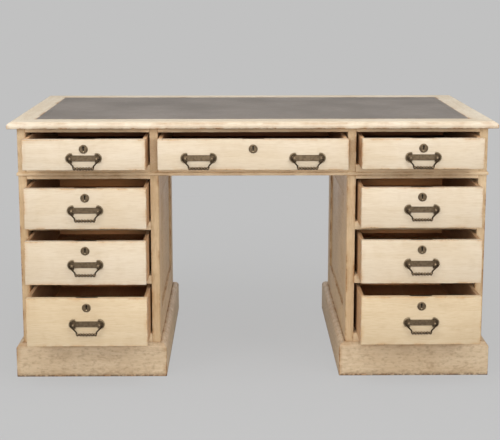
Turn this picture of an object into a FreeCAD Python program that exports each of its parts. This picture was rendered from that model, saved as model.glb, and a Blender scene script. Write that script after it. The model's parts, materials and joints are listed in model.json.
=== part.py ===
import FreeCAD, Part
import math
import operator
import os
from types import SimpleNamespace

import Sketcher

# A kneehole pedestal desk in pale oak: a leather-lined top on a frieze with three drawers,
# carried by two pedestals of three drawers each on skirted plinths.
# The floor is Z = 0, the sitter's side is -Y, and the origin is under the middle of the
# whole desk with its drawers standing open. Lengths are in millimetres.

SIZES = {
    "desk_height": 758,
    "top_width": 1400,
    "top_depth": 710,
    "top_thickness": 20,
    "side_overhang": 24,
    "front_overhang": 30,
    "back_overhang": 40,
    "border_width": 72,
    "leather_thickness": 1.5,
    "nosing_quirk": 1.5,
    "nosing_radius": 11.5,
    "nosing_under_radius": 4,
    "frieze_height": 139,
    "pedestal_width": 403,
    "side_thickness": 24,
    "frieze_top_rail": 13,
    "frieze_bottom_rail": 31,
    "frieze_back_thickness": 18,
    "bead_height": 10,
    "bead_projection": 4,
    "bead_rounding": 3,
    "pedestal_top_rail": 10,
    "drawer_rail": 24,
    "base_rail_height": 40,
    "base_rail_show": 25,
    "rail_depth": 60,
    "rail_tenon": 9,
    "tenon_thickness": 8,
    "tenon_shoulder": 14,
    "frame_tenon": 36,
    "upper_step": 10,
    "lower_step": 15,
    "front_stile": 90,
    "rear_stile": 80,
    "back_stile": 60,
    "frame_top_rail": 80,
    "frame_base_rail_show": 81,
    "frame_lift": 10,
    "back_frame_thickness": 24,
    "panel_thickness": 12,
    "panel_recess": 6,
    "panel_groove": 8,
    "plinth_height": 100,
    "plinth_thickness": 19,
    "plinth_rounding": 16,
    "runner_width": 22,
    "runner_height": 24,
    "kicker_width": 20,
    "stop_length": 30,
    "stop_depth": 14,
    "stop_height": 4.5,
    "stop_inset": 60,
    "drawer_front": 20,
    "drawer_side": 10,
    "drawer_back": 10,
    "drawer_bottom": 6,
    "drawer_side_gap": 6,
    "frieze_top_gap": 7,
    "pedestal_top_gap": 10,
    "drawer_foot_gap": 1.5,
    "drawer_rear_gap": 36,
    "drawer_side_drop": 3,
    "drawer_back_drop": 10,
    "bottom_raise": 8,
    "bottom_groove": 5,
    "running_gap": 0.3,
    "dovetail_lap": 6,
    "dovetail_pin": 8,
    "dovetail_margin": 5,
    "dovetail_splay": 2,
    "pull_frieze_left": 96,
    "pull_frieze_centre": 95,
    "pull_frieze_right": 87,
    "pull_left_upper": 95,
    "pull_left_middle": 101,
    "pull_left_lower": 117,
    "pull_right_upper": 90,
    "pull_right_middle": 95,
    "pull_right_lower": 111,
    "sway_frieze_left": 1,
    "sway_frieze_centre": -1,
    "sway_frieze_right": 2,
    "sway_left_upper": 1.5,
    "sway_left_middle": -0.5,
    "sway_left_lower": 1.5,
    "sway_right_upper": 1.5,
    "sway_right_middle": 3.5,
    "sway_right_lower": 3.5,
    "plate_width": 102,
    "plate_bar_height": 17,
    "plate_thickness": 2,
    "rose_radius": 15,
    "rose_cut": 3,
    "handle_clearance": 5,
    "handle_low": 4.5,
    "centre_handle_outset": 18.5,
    "post_spacing": 74,
    "post_reach": 11,
    "post_head_radius": 4.5,
    "post_neck_radius": 3.4,
    "post_shank_radius": 2.5,
    "nut_radius": 6,
    "nut_thickness": 4,
    "shank_end": 1.5,
    "bail_radius": 2.1,
    "bail_play": 0.08,
    "bail_side_play": 0.3,
    "bail_pin": 4,
    "bail_bend": 2.5,
    "bail_drop": 27.5,
    "bail_lean": 19,
    "bail_slope": 20.5,
    "grip_bend": 3.5,
    "bead_run": 58.5,
    "bead_crest": 4.75,
    "bead_valley": 2.6,
    "escutcheon_radius": 12.5,
    "escutcheon_edge": 1.4,
    "escutcheon_rim": 2.4,
    "escutcheon_rim_width": 2.5,
    "escutcheon_dish": 1.6,
    "stud_radius": 1.9,
    "stud_drop": 7.2,
    "barrel_radius": 9.3,
    "keyhole_radius": 2.8,
    "keyhole_rise": 5.5,
    "keyhole_slot": 3.6,
    "keyhole_length": 9.5,
    "lock_drop": 26.5,
    "lock_width": 62,
    "lock_height": 44,
    "lock_thickness": 11,
    "lock_screw_radius": 1.5,
    "lock_screw_head": 3,
    "lock_screw_sink": 1.6,
    "lock_screw_length": 16,
    "lock_screw_inset": 6,
    "key_bore_radius": 6.4,
    "key_bore_depth": 7,
    "bolt_width": 24,
    "bolt_thickness": 5,
    "bolt_height": 15,
    "bolt_inset": 0.6,
    "bolt_engagement": 3.5,
    "strike_play": 1.5,
}

# Counts of beads along a grip, and of dovetails up each kind of drawer
GRIP_BEADS = 7
FRIEZE_TAILS = 3
UPPER_TAILS = 4
MIDDLE_TAILS = 4
LOWER_TAILS = 5

doc = FreeCAD.newDocument("pedestal_desk")
sheet = doc.addObject("Spreadsheet::Sheet", "Sizes")
for row, (alias, millimetres) in enumerate(SIZES.items(), start=1):
    sheet.set(f"A{row}", alias)
    sheet.set(f"B{row}", str(millimetres))
    sheet.setAlias(f"B{row}", alias)
doc.recompute()


# Lengths that carry both their value and the sheet expression they come from
class Length:
    def __init__(self, value, text):
        self.value = value
        self.text = text

    def __add__(self, other):
        return joined(self, "+", other)

    def __radd__(self, other):
        return joined(other, "+", self)

    def __sub__(self, other):
        return joined(self, "-", other)

    def __rsub__(self, other):
        return joined(other, "-", self)

    def __mul__(self, other):
        return joined(self, "*", other)

    def __rmul__(self, other):
        return joined(other, "*", self)

    def __truediv__(self, other):
        return joined(self, "/", other)

    def __neg__(self):
        return joined(0, "-", self)


SIGNS = {"+": operator.add, "-": operator.sub, "*": operator.mul, "/": operator.truediv}


def as_length(number):
    return number if isinstance(number, Length) else Length(float(number), repr(float(number)))


def joined(left, sign, right):
    left = as_length(left)
    right = as_length(right)
    return Length(SIGNS[sign](left.value, right.value), f"({left.text} {sign} {right.text})")


def largest(lengths):
    return Length(max(each.value for each in lengths), f"max({'; '.join(each.text for each in lengths)})")


def root(length):
    return Length(math.sqrt(length.value), f"sqrt({length.text})")


size = SimpleNamespace(**{alias: Length(float(mm), f"Sizes.{alias}") for alias, mm in SIZES.items()})


# Boards, rods, cuts and groups
def place(thing, x, y, z):
    for axis, length in zip("xyz", (x, y, z)):
        thing.setExpression(f"Placement.Base.{axis}", as_length(length).text)


def board(name, across, along, up):
    box = doc.addObject("Part::Box", name)
    for side, (low, high) in zip(("Length", "Width", "Height"), (across, along, up)):
        box.setExpression(side, (high - low).text)
    place(box, across[0], along[0], up[0])
    return box


TURNS = {
    "x": FreeCAD.Rotation(FreeCAD.Vector(0, 1, 0), 90),
    "y": FreeCAD.Rotation(FreeCAD.Vector(1, 0, 0), -90),
    "-y": FreeCAD.Rotation(FreeCAD.Vector(1, 0, 0), 90),
}


def rod(name, radius, start, axis, length):
    cylinder = doc.addObject("Part::Cylinder", name)
    cylinder.setExpression("Radius", radius.text)
    cylinder.setExpression("Height", length.text)
    cylinder.Placement = FreeCAD.Placement(FreeCAD.Vector(), TURNS[axis])
    place(cylinder, *start)
    return cylinder


def group(name, pieces):
    compound = doc.addObject("Part::Compound", name)
    compound.Links = pieces
    return compound


def fused(name, pieces):
    whole = doc.addObject("Part::MultiFuse", name)
    whole.Shapes = pieces
    return whole


def cut(name, base, tools):
    result = doc.addObject("Part::Cut", name)
    result.Base = base
    result.Tool = tools[0] if len(tools) == 1 else group(f"{name}_tools", tools)
    return result


nodes = []


def node(label, pieces):
    piece = pieces[0] if len(pieces) == 1 else group(f"{label}_group", pieces)
    piece.Label = label
    nodes.append(piece)


# Bodies drawn with sketches
def new_body(name):
    return doc.addObject("PartDesign::Body", name)


def sketch_on(body, role, name):
    sketch = body.newObject("Sketcher::SketchObject", f"{body.Name}_{name}")
    plane = next(feature for feature in body.Origin.OriginFeatures if feature.Role == role)
    sketch.AttachmentSupport = [(plane, "")]
    sketch.MapMode = "FlatFace"
    return sketch


def flat_point(corner):
    return FreeCAD.Vector(corner[0].value, corner[1].value, 0)


def round_edge(sketch, start, finish, radius, centre):
    """Add the shorter arc from start to finish, and say which of its ends each one is."""
    first = math.atan2(start.y - centre.y, start.x - centre.x)
    last = math.atan2(finish.y - centre.y, finish.x - centre.x)
    forward = (last - first) % (2 * math.pi) < math.pi
    circle = Part.Circle(centre, FreeCAD.Vector(0, 0, 1), radius.value)
    sweep = (first, last) if forward else (last, first)
    edge = sketch.addGeometry(Part.ArcOfCircle(circle, *sweep))
    return (edge, 1, 2) if forward else (edge, 2, 1)


def outline(sketch, corners, rounds=None, closed=True):
    """Draw edges through the corners, each corner held by two bound distances.

    rounds maps an edge's number to the radius and centre of the arc that it follows.
    """
    rounds = rounds or {}
    corners = [(as_length(across), as_length(up)) for across, up in corners]
    edges = []
    held = []
    for number in range(len(corners) if closed else len(corners) - 1):
        start = flat_point(corners[number])
        finish = flat_point(corners[(number + 1) % len(corners)])
        if number in rounds:
            radius, centre = rounds[number]
            edge = round_edge(sketch, start, finish, radius, flat_point(centre))
            held.append((Sketcher.Constraint("Radius", edge[0], radius.value), radius))
        else:
            edge = (sketch.addGeometry(Part.LineSegment(start, finish)), 1, 2)
        edges.append(edge)
    meetings = zip(edges, edges[1:] + edges[:1] if closed else edges[1:])
    for before, after in meetings:
        sketch.addConstraint(Sketcher.Constraint("Coincident", before[0], before[2], after[0], after[1]))
    for number, corner in enumerate(corners):
        last = number == len(edges)
        edge = edges[-1] if last else edges[number]
        end = edge[2] if last else edge[1]
        for kind, length in zip(("DistanceX", "DistanceY"), corner):
            held.append((Sketcher.Constraint(kind, -1, 1, edge[0], end, length.value), length))
    added = sketch.addConstraint([constraint for constraint, length in held])
    for index, (constraint, length) in zip(added, held):
        sketch.setExpression(f"Constraints[{index}]", length.text)


def pad(body, sketch, length, symmetric=False):
    feature = body.newObject("PartDesign::Pad", f"{body.Name}_pad")
    feature.Profile = sketch
    feature.SideType = "Symmetric" if symmetric else "One side"
    feature.setExpression("Length", length.text)
    return feature


def revolve(body, sketch, axis):
    feature = body.newObject("PartDesign::Revolution", f"{body.Name}_revolution")
    feature.Profile = sketch
    feature.ReferenceAxis = (sketch, [axis])
    feature.Angle = 360
    return feature


def mitred_strip(name, section, rounds, length, depth, turn, position):
    """A moulded strip with its inner face on its own X axis, its show edge at -Y and mitred ends."""
    body = new_body(name)
    profile = sketch_on(body, "YZ_Plane", "section")
    outline(profile, section, rounds)
    pad(body, profile, length, symmetric=True)
    mitres = sketch_on(body, "XY_Plane", "mitres")
    reach = depth
    for side in (1, -1):
        end = side * (length / 2 + reach)
        outline(mitres, [(end, -depth - reach), (end, reach), (end - side * (depth + 2 * reach), reach)])
    pocket = body.newObject("PartDesign::Pocket", f"{name}_pocket")
    pocket.Profile = mitres
    pocket.Type = "ThroughAll"
    pocket.Reversed = True
    body.Placement = FreeCAD.Placement(FreeCAD.Vector(), FreeCAD.Rotation(FreeCAD.Vector(0, 0, 1), turn))
    place(body, *position)
    return body


def mitred_ring(name, section, rounds, depth, across, along, level):
    """Four mitred strips round a rectangle, given by the spans of its inner faces."""
    middle_x = (across[0] + across[1]) / 2
    middle_y = (along[0] + along[1]) / 2
    wide = across[1] - across[0] + 2 * depth
    deep = along[1] - along[0] + 2 * depth
    runs = {
        "front": (wide, 0, (middle_x, along[0], level)),
        "right": (deep, 90, (across[1], middle_y, level)),
        "back": (wide, 180, (middle_x, along[1], level)),
        "left": (deep, 270, (across[0], middle_y, level)),
    }
    return {
        place_name: mitred_strip(f"{name}_{place_name}", section, rounds, length, depth, turn, position)
        for place_name, (length, turn, position) in runs.items()
    }


# Main planes of the desk
HANDS = {"left": -1, "right": 1}


def handed(hand, near, far):
    """A span across the desk on one side of its middle, from a near and a far distance."""
    return (near, far) if HANDS[hand] > 0 else (-far, -near)


pulls = [length for alias, length in vars(size).items() if alias.startswith("pull_")]
carcass_depth = size.top_depth - size.front_overhang - size.back_overhang
front_reach = largest(pulls) + size.post_reach + size.bead_crest
front = (front_reach - carcass_depth - size.back_overhang) / 2
back = front + carcass_depth
carcass_half = size.top_width / 2 - size.side_overhang
knee_half = carcass_half - size.pedestal_width
top_under = size.desk_height - size.top_thickness

pedestal_height = top_under - size.frieze_height
frieze_opening = (pedestal_height + size.frieze_bottom_rail, top_under - size.frieze_top_rail)

# The openings of a pedestal grow downwards by a step each
upper_top = pedestal_height - size.pedestal_top_rail
lower_base = size.plinth_height + size.base_rail_show
open_heights = upper_top - lower_base - 2 * size.drawer_rail
middle_height = (open_heights + size.upper_step - size.lower_step) / 3
upper_opening = (upper_top - middle_height + size.upper_step, upper_top)
middle_top = upper_opening[0] - size.drawer_rail
middle_opening = (middle_top - middle_height, middle_top)
lower_opening = (lower_base, middle_opening[0] - size.drawer_rail)

side_bay = (knee_half + size.side_thickness, carcass_half - size.side_thickness)
centre_bay = (-knee_half, knee_half)
rail_along = (front, front + size.rail_depth)


# Top: a panel with a leather lining let in flush, in a mitred border with a thumb moulding
def make_top():
    nose = size.border_width - size.nosing_radius
    shoulder = size.top_thickness - size.nosing_quirk
    widest = shoulder - size.nosing_radius
    under = size.border_width - size.nosing_under_radius
    section = [
        (0, 0),
        (0, size.top_thickness),
        (-nose, size.top_thickness),
        (-nose, shoulder),
        (-size.border_width, widest),
        (-size.border_width, size.nosing_under_radius),
        (-under, 0),
    ]
    rounds = {
        3: (size.nosing_radius, (-nose, widest)),
        5: (size.nosing_under_radius, (-under, size.nosing_under_radius)),
    }
    half = size.top_width / 2 - size.border_width
    across = (-half, half)
    along = (front - size.front_overhang + size.border_width, back + size.back_overhang - size.border_width)
    border = mitred_ring("border", section, rounds, size.border_width, across, along, top_under)
    node("top_border_front", [border["front"]])
    node("top_border_back", [border["back"]])
    node("top_border_ends", [border["left"], border["right"]])
    lining = size.desk_height - size.leather_thickness
    node("top_panel", [board("panel_board", across, along, (top_under, lining))])
    node("leather_inset", [board("leather_sheet", across, along, (lining, size.desk_height))])


# Rails across a bay, with stub tenons into what stands at their ends
def tenoned_rail(name, bay, up, notches):
    rail = board(f"{name}_rail", bay, rail_along, up)
    cheek = (rail_along[1] - rail_along[0] - size.tenon_thickness) / 2
    tenon_along = (rail_along[0] + cheek, rail_along[1] - cheek)
    tenons = board(f"{name}_tenons", (bay[0] - size.rail_tenon, bay[1] + size.rail_tenon), tenon_along, up)
    whole = fused(f"{name}_whole", [rail, tenons])
    return cut(name, whole, notches) if notches else whole


def drawer_middle(name, bay):
    """Where the middle of a drawer stands in its bay, which it fits loosely."""
    return (bay[0] + bay[1]) / 2 + vars(size)[f"sway_{name}"]


def bolt_span():
    """How far behind the drawer's face its lock bolt starts and ends."""
    middle = size.drawer_front - size.lock_thickness / 2
    return middle - size.bolt_thickness / 2, middle + size.bolt_thickness / 2


def strike(name, bay, under):
    """The mortise over a closed drawer that its lock bolt shoots into."""
    middle = drawer_middle(name, bay)
    half = size.bolt_width / 2 + size.strike_play
    near, far = bolt_span()
    along = (front + near - size.strike_play, front + far + size.strike_play)
    depth = size.bolt_engagement + size.strike_play
    return board(f"{name}_strike", (middle - half, middle + half), along, (under, under + depth))


# Runners that a drawer slides on, stops that it shuts against, and kickers over the frieze drawers
def inboard(bay, hand, near, far):
    """A span measured inwards from one side of a bay."""
    if HANDS[hand] < 0:
        return bay[0] + near, bay[0] + far
    return bay[1] - far, bay[1] - near


def drawer_seats(name, bay, floor, runner_height, rear):
    stop_face = front + size.drawer_front + size.running_gap
    stop_along = (stop_face, stop_face + size.stop_depth)
    stop_up = (floor, floor + size.stop_height)
    pieces = []
    for hand in HANDS:
        runner = inboard(bay, hand, as_length(0), size.runner_width)
        stop = inboard(bay, hand, size.stop_inset, size.stop_inset + size.stop_length)
        runner_up = (floor - runner_height, floor)
        pieces.append(board(f"{name}_{hand}_runner", runner, (rail_along[1], rear), runner_up))
        pieces.append(board(f"{name}_{hand}_stop", stop, stop_along, stop_up))
    return pieces


def kickers(name, bay, rear):
    along = (rail_along[1], rear)
    up = (frieze_opening[1], top_under)
    return [
        board(f"{name}_{hand}_kicker", inboard(bay, hand, as_length(0), size.kicker_width), along, up)
        for hand in HANDS
    ]


# Frieze: ends, dividers, back and front rails, with a bead round its foot
def make_frieze():
    up = (pedestal_height, top_under)
    rear = back - size.frieze_back_thickness
    bays = {
        "left": handed("left", *side_bay),
        "centre": centre_bay,
        "right": handed("right", *side_bay),
    }
    rails = []
    seats = []
    for name, bay in bays.items():
        notch = strike(f"frieze_{name}", bay, frieze_opening[1])
        rails.append(tenoned_rail(f"frieze_{name}_top", bay, (frieze_opening[1], top_under), [notch]))
        rails.append(tenoned_rail(f"frieze_{name}_base", bay, (pedestal_height, frieze_opening[0]), []))
        seats += drawer_seats(f"frieze_{name}", bay, frieze_opening[0], size.frieze_bottom_rail, rear)
        seats += kickers(f"frieze_{name}", bay, rear)
    outer = (carcass_half - size.side_thickness, carcass_half)
    inner = (knee_half, knee_half + size.side_thickness)
    sides = []
    dividers = []
    for hand in HANDS:
        side = board(f"frieze_{hand}_board", handed(hand, *outer), (front, back), up)
        sides.append(cut(f"frieze_{hand}_side", side, rails))
        divider = board(f"frieze_{hand}_divider_board", handed(hand, *inner), (front, rear), up)
        dividers.append(cut(f"frieze_{hand}_divider", divider, rails))
    node("frieze_sides", sides)
    node("frieze_dividers", dividers)
    node("frieze_front_rails", rails)
    node("frieze_back", [board("frieze_back_board", (-outer[0], outer[0]), (rear, back), up)])
    node("frieze_runners", seats)
    flat = size.bead_projection - size.bead_rounding
    shoulder = size.bead_height - size.bead_rounding
    section = [
        (0, 0),
        (0, size.bead_height),
        (-flat, size.bead_height),
        (-size.bead_projection, shoulder),
        (-size.bead_projection, size.bead_rounding),
        (-flat, 0),
    ]
    rounds = {
        2: (size.bead_rounding, (-flat, shoulder)),
        4: (size.bead_rounding, (-flat, size.bead_rounding)),
    }
    across = (-carcass_half, carcass_half)
    along = (front, back)
    bead = mitred_ring("bead", section, rounds, size.bead_projection, across, along, pedestal_height)
    node("frieze_bead", list(bead.values()))


# A framed panel: two stiles, two tenoned rails and a panel held in their grooves.
# The frame lies across the desk or along it, and its thickness is the other span.
def framed_panel(name, lies, run, thickness, stiles, recess_side, notches):
    low = size.frame_lift
    high = pedestal_height
    base_top = size.plinth_height + size.frame_base_rail_show
    top_base = high - size.frame_top_rail
    inner = (run[0] + stiles[0], run[1] - stiles[1])

    def piece(part_name, along_run, through, up):
        spans = (through, along_run) if lies == "along" else (along_run, through)
        return board(f"{name}_{part_name}", *spans, up)

    skin = (thickness[1] - thickness[0] - size.tenon_thickness) / 2
    tenon = (thickness[0] + skin, thickness[1] - skin)
    if recess_side < 0:
        show_face = thickness[0] + size.panel_recess
        panel_through = (show_face, show_face + size.panel_thickness)
    else:
        show_face = thickness[1] - size.panel_recess
        panel_through = (show_face - size.panel_thickness, show_face)
    held = (inner[0] - size.panel_groove, inner[1] + size.panel_groove)
    panel = piece("panel", held, panel_through, (base_top - size.panel_groove, top_base + size.panel_groove))
    rails = []
    for part_name, up in (("base_rail", (low, base_top)), ("top_rail", (top_base, high))):
        tenon_up = (up[0] + size.tenon_shoulder, up[1] - size.tenon_shoulder)
        reach = (inner[0] - size.frame_tenon, inner[1] + size.frame_tenon)
        whole = fused(
            f"{name}_{part_name}_whole",
            [
                piece(part_name, inner, thickness, up),
                piece(f"{part_name}_tenons", reach, tenon, tenon_up),
            ],
        )
        rails.append(cut(f"{name}_{part_name}_grooved", whole, [panel]))
    uprights = []
    for part_name, span in (("near_stile", (run[0], inner[0])), ("far_stile", (inner[1], run[1]))):
        upright = piece(part_name, span, thickness, (low, high))
        uprights.append(cut(f"{name}_{part_name}_mortised", upright, rails + [panel] + notches))
    return uprights + rails, panel


# Pedestals: two side frames and a back frame round the drawer rails and runners, on a plinth
def make_pedestal(hand):
    name = f"{hand}_pedestal"
    bay = handed(hand, *side_bay)
    rear = back - size.back_frame_thickness
    rails_over = {
        "upper": (upper_opening[1], pedestal_height),
        "middle": (middle_opening[1], upper_opening[0]),
        "lower": (lower_opening[1], middle_opening[0]),
    }
    rails = []
    for drawer, up in rails_over.items():
        notch = strike(f"{hand}_{drawer}", bay, up[0])
        rails.append(tenoned_rail(f"{name}_over_{drawer}", bay, up, [notch]))
    base_up = (lower_opening[0] - size.base_rail_height, lower_opening[0])
    rails.append(tenoned_rail(f"{name}_base", bay, base_up, []))
    outer = (carcass_half - size.side_thickness, carcass_half)
    inner = (knee_half, knee_half + size.side_thickness)
    stiles = (size.front_stile, size.rear_stile)
    frames = []
    panels = []
    for place_name, span, outward in (("outer", outer, 1), ("inner", inner, -1)):
        facing = outward * HANDS[hand]
        boards, panel = framed_panel(
            f"{name}_{place_name}", "along", (front, back), handed(hand, *span), stiles, facing, rails
        )
        frames += boards
        panels.append(panel)
    back_stiles = (size.back_stile, size.back_stile)
    back_boards, back_panel = framed_panel(f"{name}_back", "across", bay, (rear, back), back_stiles, 1, [])
    node(f"{name}_side_frames", frames)
    node(f"{name}_back_frame", back_boards)
    node(f"{name}_panels", panels + [back_panel])
    node(f"{name}_front_rails", rails)
    seats = []
    for level, opening in (("upper", upper_opening), ("middle", middle_opening), ("lower", lower_opening)):
        seats += drawer_seats(f"{name}_{level}", bay, opening[0], size.runner_height, rear)
    node(f"{name}_runners", seats)
    flat = size.plinth_thickness - size.plinth_rounding
    shoulder = size.plinth_height - size.plinth_rounding
    section = [
        (0, 0),
        (0, size.plinth_height),
        (-flat, size.plinth_height),
        (-size.plinth_thickness, shoulder),
        (-size.plinth_thickness, 0),
    ]
    rounds = {2: (size.plinth_rounding, (-flat, shoulder))}
    across = handed(hand, knee_half, carcass_half)
    along = (front, back)
    floor = as_length(0)
    plinth = mitred_ring(f"{hand}_plinth", section, rounds, size.plinth_thickness, across, along, floor)
    node(f"{hand}_plinth", list(plinth.values()))


# Drawer sides have lapped dovetails at the front and a groove for the bottom
def dovetailed_side(name, x, face, foot, height, depth, tails):
    pitch = (height - 2 * size.dovetail_margin) / tails
    wide = (pitch - size.dovetail_pin) / 2
    narrow = wide - size.dovetail_splay
    corners = [(size.drawer_front, 0)]
    for number in range(tails):
        middle = size.dovetail_margin + pitch * (number + 0.5)
        corners += [
            (size.drawer_front, middle - narrow),
            (size.dovetail_lap, middle - wide),
            (size.dovetail_lap, middle + wide),
            (size.drawer_front, middle + narrow),
        ]
    corners += [(size.drawer_front, height), (depth, height), (depth, 0)]
    body = new_body(name)
    sketch = sketch_on(body, "YZ_Plane", "outline")
    outline(sketch, corners)
    pad(body, sketch, size.drawer_side)
    place(body, x, face, foot)
    return body


# Handle: a plate with two roses, two drilled posts held by nuts, and a swinging bail
def make_plate(name, x, face, z):
    half = size.plate_width / 2
    rose = half - size.rose_radius
    step = rose - size.rose_cut
    rise = root(size.rose_radius * size.rose_radius - size.rose_cut * size.rose_cut)
    bar = size.plate_bar_height / 2
    corners = [
        (-half, 0),
        (-step, -rise),
        (-step, -bar),
        (step, -bar),
        (step, -rise),
        (half, 0),
        (step, rise),
        (step, bar),
        (-step, bar),
        (-step, rise),
    ]
    left = (size.rose_radius, (-rose, as_length(0)))
    right = (size.rose_radius, (rose, as_length(0)))
    body = new_body(name)
    sketch = sketch_on(body, "XZ_Plane", "outline")
    outline(sketch, corners, {0: left, 4: right, 5: right, 9: left})
    pad(body, sketch, size.plate_thickness)
    place(body, x, face, z)
    return body


def make_post(name, x, face, z, outward):
    tip = face - size.post_reach
    nut_face = face + size.drawer_front
    shank_length = size.post_reach + size.drawer_front + size.nut_thickness + size.shank_end
    shank = rod(f"{name}_shank", size.post_shank_radius, (x, tip, z), "y", shank_length)
    neck = rod(f"{name}_neck", size.post_neck_radius, (x, tip, z), "y", size.post_reach)
    head = doc.addObject("Part::Sphere", f"{name}_head")
    head.setExpression("Radius", size.post_head_radius.text)
    place(head, x, tip, z)
    drill = size.bail_pin + size.bail_side_play
    mouth = x + outward * size.post_head_radius
    start = mouth - drill if outward > 0 else mouth - size.post_head_radius
    hole_length = drill + size.post_head_radius
    hole = rod(f"{name}_drilling", size.bail_radius + size.bail_play, (start, tip, z), "x", hole_length)
    post = cut(name, fused(f"{name}_turned", [shank, neck, head]), [hole])
    nut = doc.addObject("Part::Prism", f"{name}_nut_blank")
    nut.Polygon = 6
    nut.setExpression("Circumradius", size.nut_radius.text)
    nut.setExpression("Height", size.nut_thickness.text)
    nut.Placement = FreeCAD.Placement(FreeCAD.Vector(), TURNS["y"])
    place(nut, x, nut_face, z)
    return post, cut(f"{name}_nut", nut, [shank]), shank, neck


def bail_path():
    """Corners and arcs of the bail: in from each post's outer side, leaning, then straight down to the grip."""
    mouth = size.post_spacing / 2 + size.post_head_radius
    tip = mouth - size.bail_pin
    arm = root(size.bail_lean * size.bail_lean + size.bail_slope * size.bail_slope)
    step = (size.bail_lean / arm, size.bail_slope / arm)
    high = size.bail_bend * (1 + step[0]) / step[1]
    ease = size.grip_bend * (1 - step[1]) / step[0]
    shoulder = mouth + size.bail_side_play + high
    foot = shoulder - size.bail_lean
    elbow = size.bail_drop - size.bail_slope
    half = [
        (tip, size.bail_drop),
        (shoulder - high, size.bail_drop),
        (shoulder - high * step[0], size.bail_drop - high * step[1]),
        (foot + ease * step[0], elbow + ease * step[1]),
        (foot, elbow - ease),
        (foot, size.grip_bend),
        (foot - size.grip_bend, as_length(0)),
    ]
    bends = {
        1: (size.bail_bend, (shoulder - high, size.bail_drop - size.bail_bend)),
        3: (size.grip_bend, (foot + size.grip_bend, elbow - ease)),
        5: (size.grip_bend, (foot - size.grip_bend, size.grip_bend)),
    }
    corners = half + [(-across, up) for across, up in reversed(half)]
    rounds = dict(bends)
    for first, (radius, (across, up)) in bends.items():
        rounds[len(corners) - 2 - first] = (radius, (-across, up))
    return corners, rounds, tip


def make_bail(name, x, face, z):
    corners, rounds, tip = bail_path()
    body = new_body(f"{name}_body")
    path = sketch_on(body, "XZ_Plane", "path")
    outline(path, corners, rounds, closed=False)
    wire = sketch_on(body, "YZ_Plane", "wire")
    wire.setExpression("AttachmentOffset.Base.z", tip.text)
    centre = FreeCAD.Vector(0, size.bail_drop.value, 0)
    circle = wire.addGeometry(Part.Circle(centre, FreeCAD.Vector(0, 0, 1), size.bail_radius.value))
    held = [
        (Sketcher.Constraint("Radius", circle, size.bail_radius.value), size.bail_radius),
        (Sketcher.Constraint("DistanceX", -1, 1, circle, 3, 0), as_length(0)),
        (Sketcher.Constraint("DistanceY", -1, 1, circle, 3, size.bail_drop.value), size.bail_drop),
    ]
    added = wire.addConstraint([constraint for constraint, length in held])
    for index, (constraint, length) in zip(added, held):
        wire.setExpression(f"Constraints[{index}]", length.text)
    pipe = body.newObject("PartDesign::AdditivePipe", f"{name}_pipe")
    pipe.Profile = wire
    pipe.Spine = path
    pitch = size.bead_run / GRIP_BEADS
    crown = size.bead_crest - size.bead_valley
    start = -size.bead_run / 2
    beads = [(start, as_length(0))]
    arcs = {}
    for number in range(GRIP_BEADS):
        near = start + pitch * number
        far = near + pitch
        arcs[len(beads)] = (crown, (near + crown, size.bead_valley))
        arcs[len(beads) + 2] = (crown, (far - crown, size.bead_valley))
        beads += [(near, size.bead_valley), (near + crown, size.bead_crest), (far - crown, size.bead_crest)]
    beads += [(-start, size.bead_valley), (-start, as_length(0))]
    profile = sketch_on(body, "XZ_Plane", "beads")
    outline(profile, beads, arcs)
    revolve(body, profile, "H_Axis")
    place(body, x, face - size.post_reach, z - size.bail_drop)
    node(name, [body])


# Lock: a case screwed into the back of the drawer front, a bolt in its channel, and an
# escutcheon with a small stud, whose barrel carries the keyhole through to the case
def lock_screw(name, x, inner_face, z):
    """A countersunk screw through the lock case, and the part of it that is in the wood."""
    head = doc.addObject("Part::Cone", f"{name}_head")
    head.setExpression("Radius1", size.lock_screw_head.text)
    head.setExpression("Radius2", size.lock_screw_radius.text)
    head.setExpression("Height", size.lock_screw_sink.text)
    head.Placement = FreeCAD.Placement(FreeCAD.Vector(), TURNS["-y"])
    place(head, x, inner_face, z)
    tip = (x, inner_face - size.lock_screw_length, z)
    shank = rod(f"{name}_shank", size.lock_screw_radius, tip, "y", size.lock_screw_length)
    in_wood = size.lock_screw_length - size.lock_thickness
    return fused(name, [head, shank]), rod(f"{name}_pilot", size.lock_screw_radius, tip, "y", in_wood)


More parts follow.
